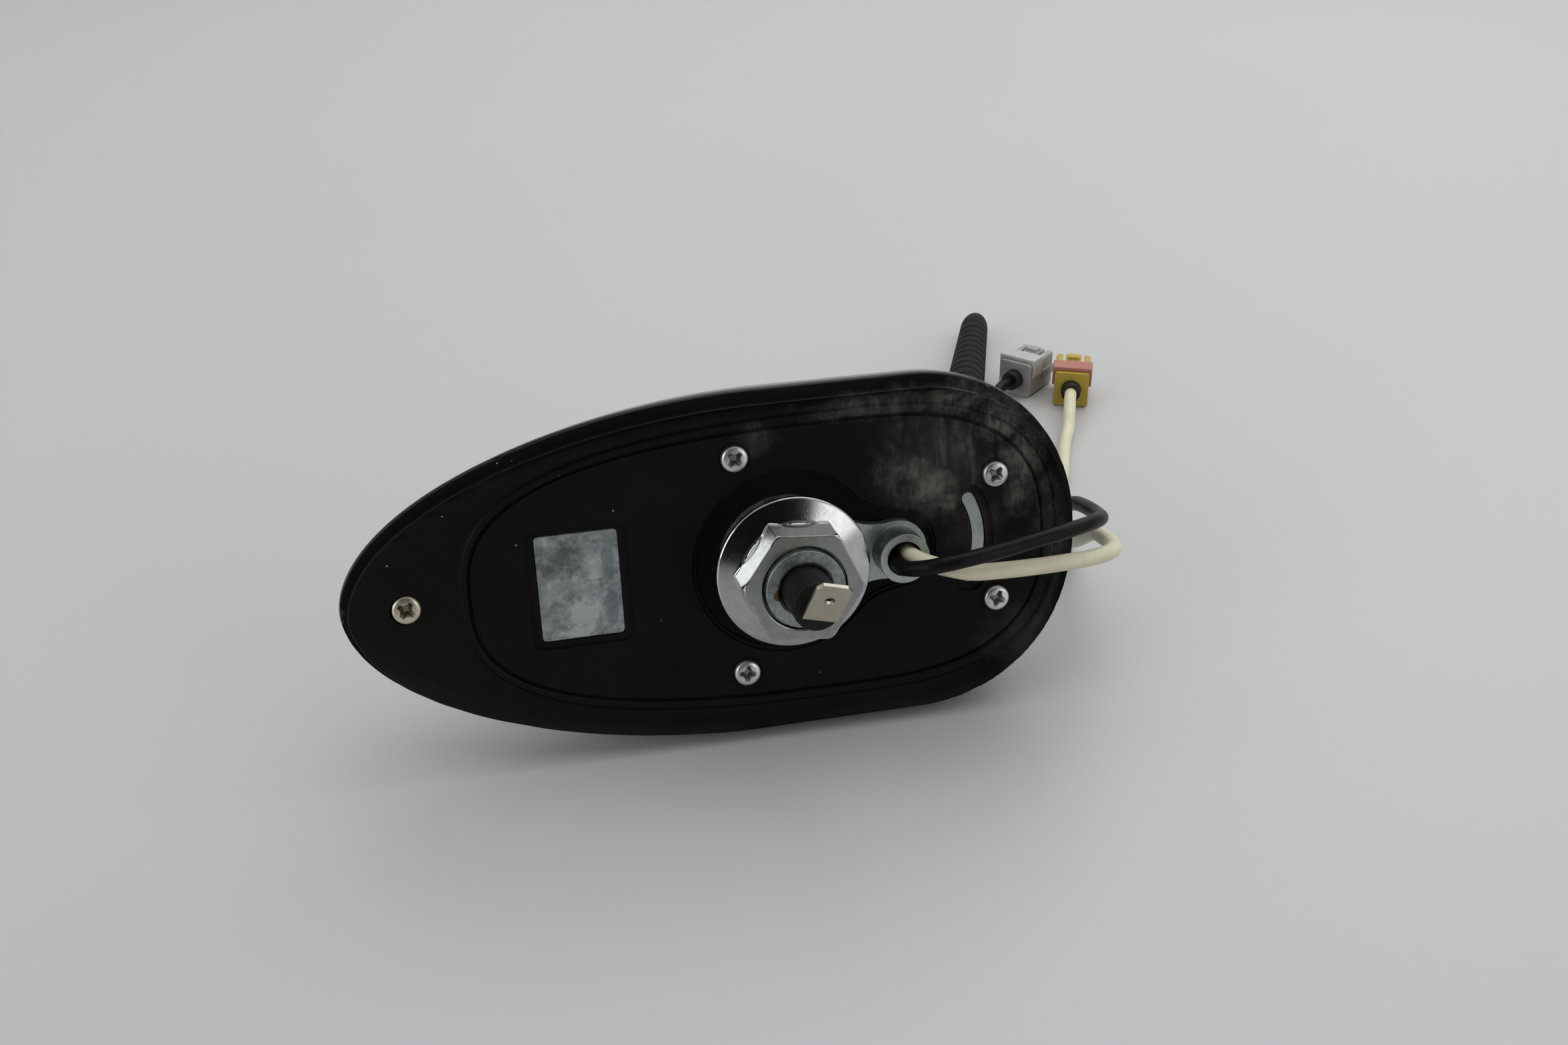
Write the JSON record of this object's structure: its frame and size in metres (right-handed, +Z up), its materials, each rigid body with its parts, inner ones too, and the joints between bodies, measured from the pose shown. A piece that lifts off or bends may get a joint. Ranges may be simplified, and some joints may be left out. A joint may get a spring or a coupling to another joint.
{
  "type": "roof antenna",
  "caption": "Car roof antenna: egg-shaped housing on a gasket and zinc base, clamped by a hollow stud and flange nut, with a short leaning mast and two coaxial leads.",
  "frame": {"origin": "on the axis of the hollow stud, in the plane of the gasket's flat field, which lies on the roof's outer skin", "axes": "+X to the front of the car, +Y to its left, +Z up out of the roof; the stud points along -Z"},
  "size_m": [0.1928, 0.0648, 0.2118],
  "materials": {
    "cover_gloss": "glossy black moulded",
    "zinc_cast": "raw zinc die casting with grey bloom",
    "gasket_rubber": "matt black moulded rubber with rubbed marks",
    "nut_chrome": "bright chromed",
    "insulator_black": "black moulded",
    "tab_nickel": "warm tinned brass",
    "screw_brassy": "yellowish plated steel",
    "screw_zinc": "zinc plated steel",
    "mast_rubber": "matt grey-black moulded rubber",
    "core_glass_fibre": "glass-fibre rod",
    "wire_copper": "enamelled copper wire",
    "brass_turned": "turned brass",
    "board_green": "green glass-epoxy board",
    "can_tinplate": "tinplate",
    "component_black": "moulded parts",
    "ceramic_buff": "fired ceramic",
    "silver_film": "printed silver",
    "seal_rubber": "soft black rubber",
    "lead_black": "satin black cable jacket",
    "lead_white": "satin cream-white cable jacket",
    "boot_black": "black sleeve",
    "plug_grey": "light grey moulded",
    "plug_yellow": "curry yellow moulded",
    "lock_grey": "pale grey moulded",
    "lock_pink": "dusty pink moulded"
  },
  "bodies": {
    "root": {"housing_cover": "cover_gloss", "base_plate": "zinc_cast", "gasket": "gasket_rubber", "flange_nut": "nut_chrome", "terminal_insulator": "insulator_black", "spade_terminal": "tab_nickel", "front_screw": "screw_brassy", "middle_screws": "screw_zinc", "rear_screws": "screw_zinc", "mast_sleeve": "mast_rubber", "mast_core": "core_glass_fibre", "mast_winding": "wire_copper", "mast_ferrule": "brass_turned", "mast_insert": "brass_turned", "feed_strip": "brass_turned", "circuit_board": "board_green", "board_screws": "screw_zinc", "shield_can": "can_tinplate", "board_components": "component_black", "patch_ceramic": "ceramic_buff", "patch_electrode": "silver_film", "cable_seal": "seal_rubber", "black_cable": "lead_black", "white_cable": "lead_white", "grey_plug_housing": "plug_grey", "grey_plug_boot": "boot_black", "grey_plug_barrel": "can_tinplate", "grey_plug_contact": "brass_turned", "grey_plug_lock": "lock_grey", "yellow_plug_housing": "plug_yellow", "yellow_plug_boot": "boot_black", "yellow_plug_barrel": "can_tinplate", "yellow_plug_contact": "brass_turned", "yellow_plug_lock": "lock_pink"}
  },
  "joints": []
}
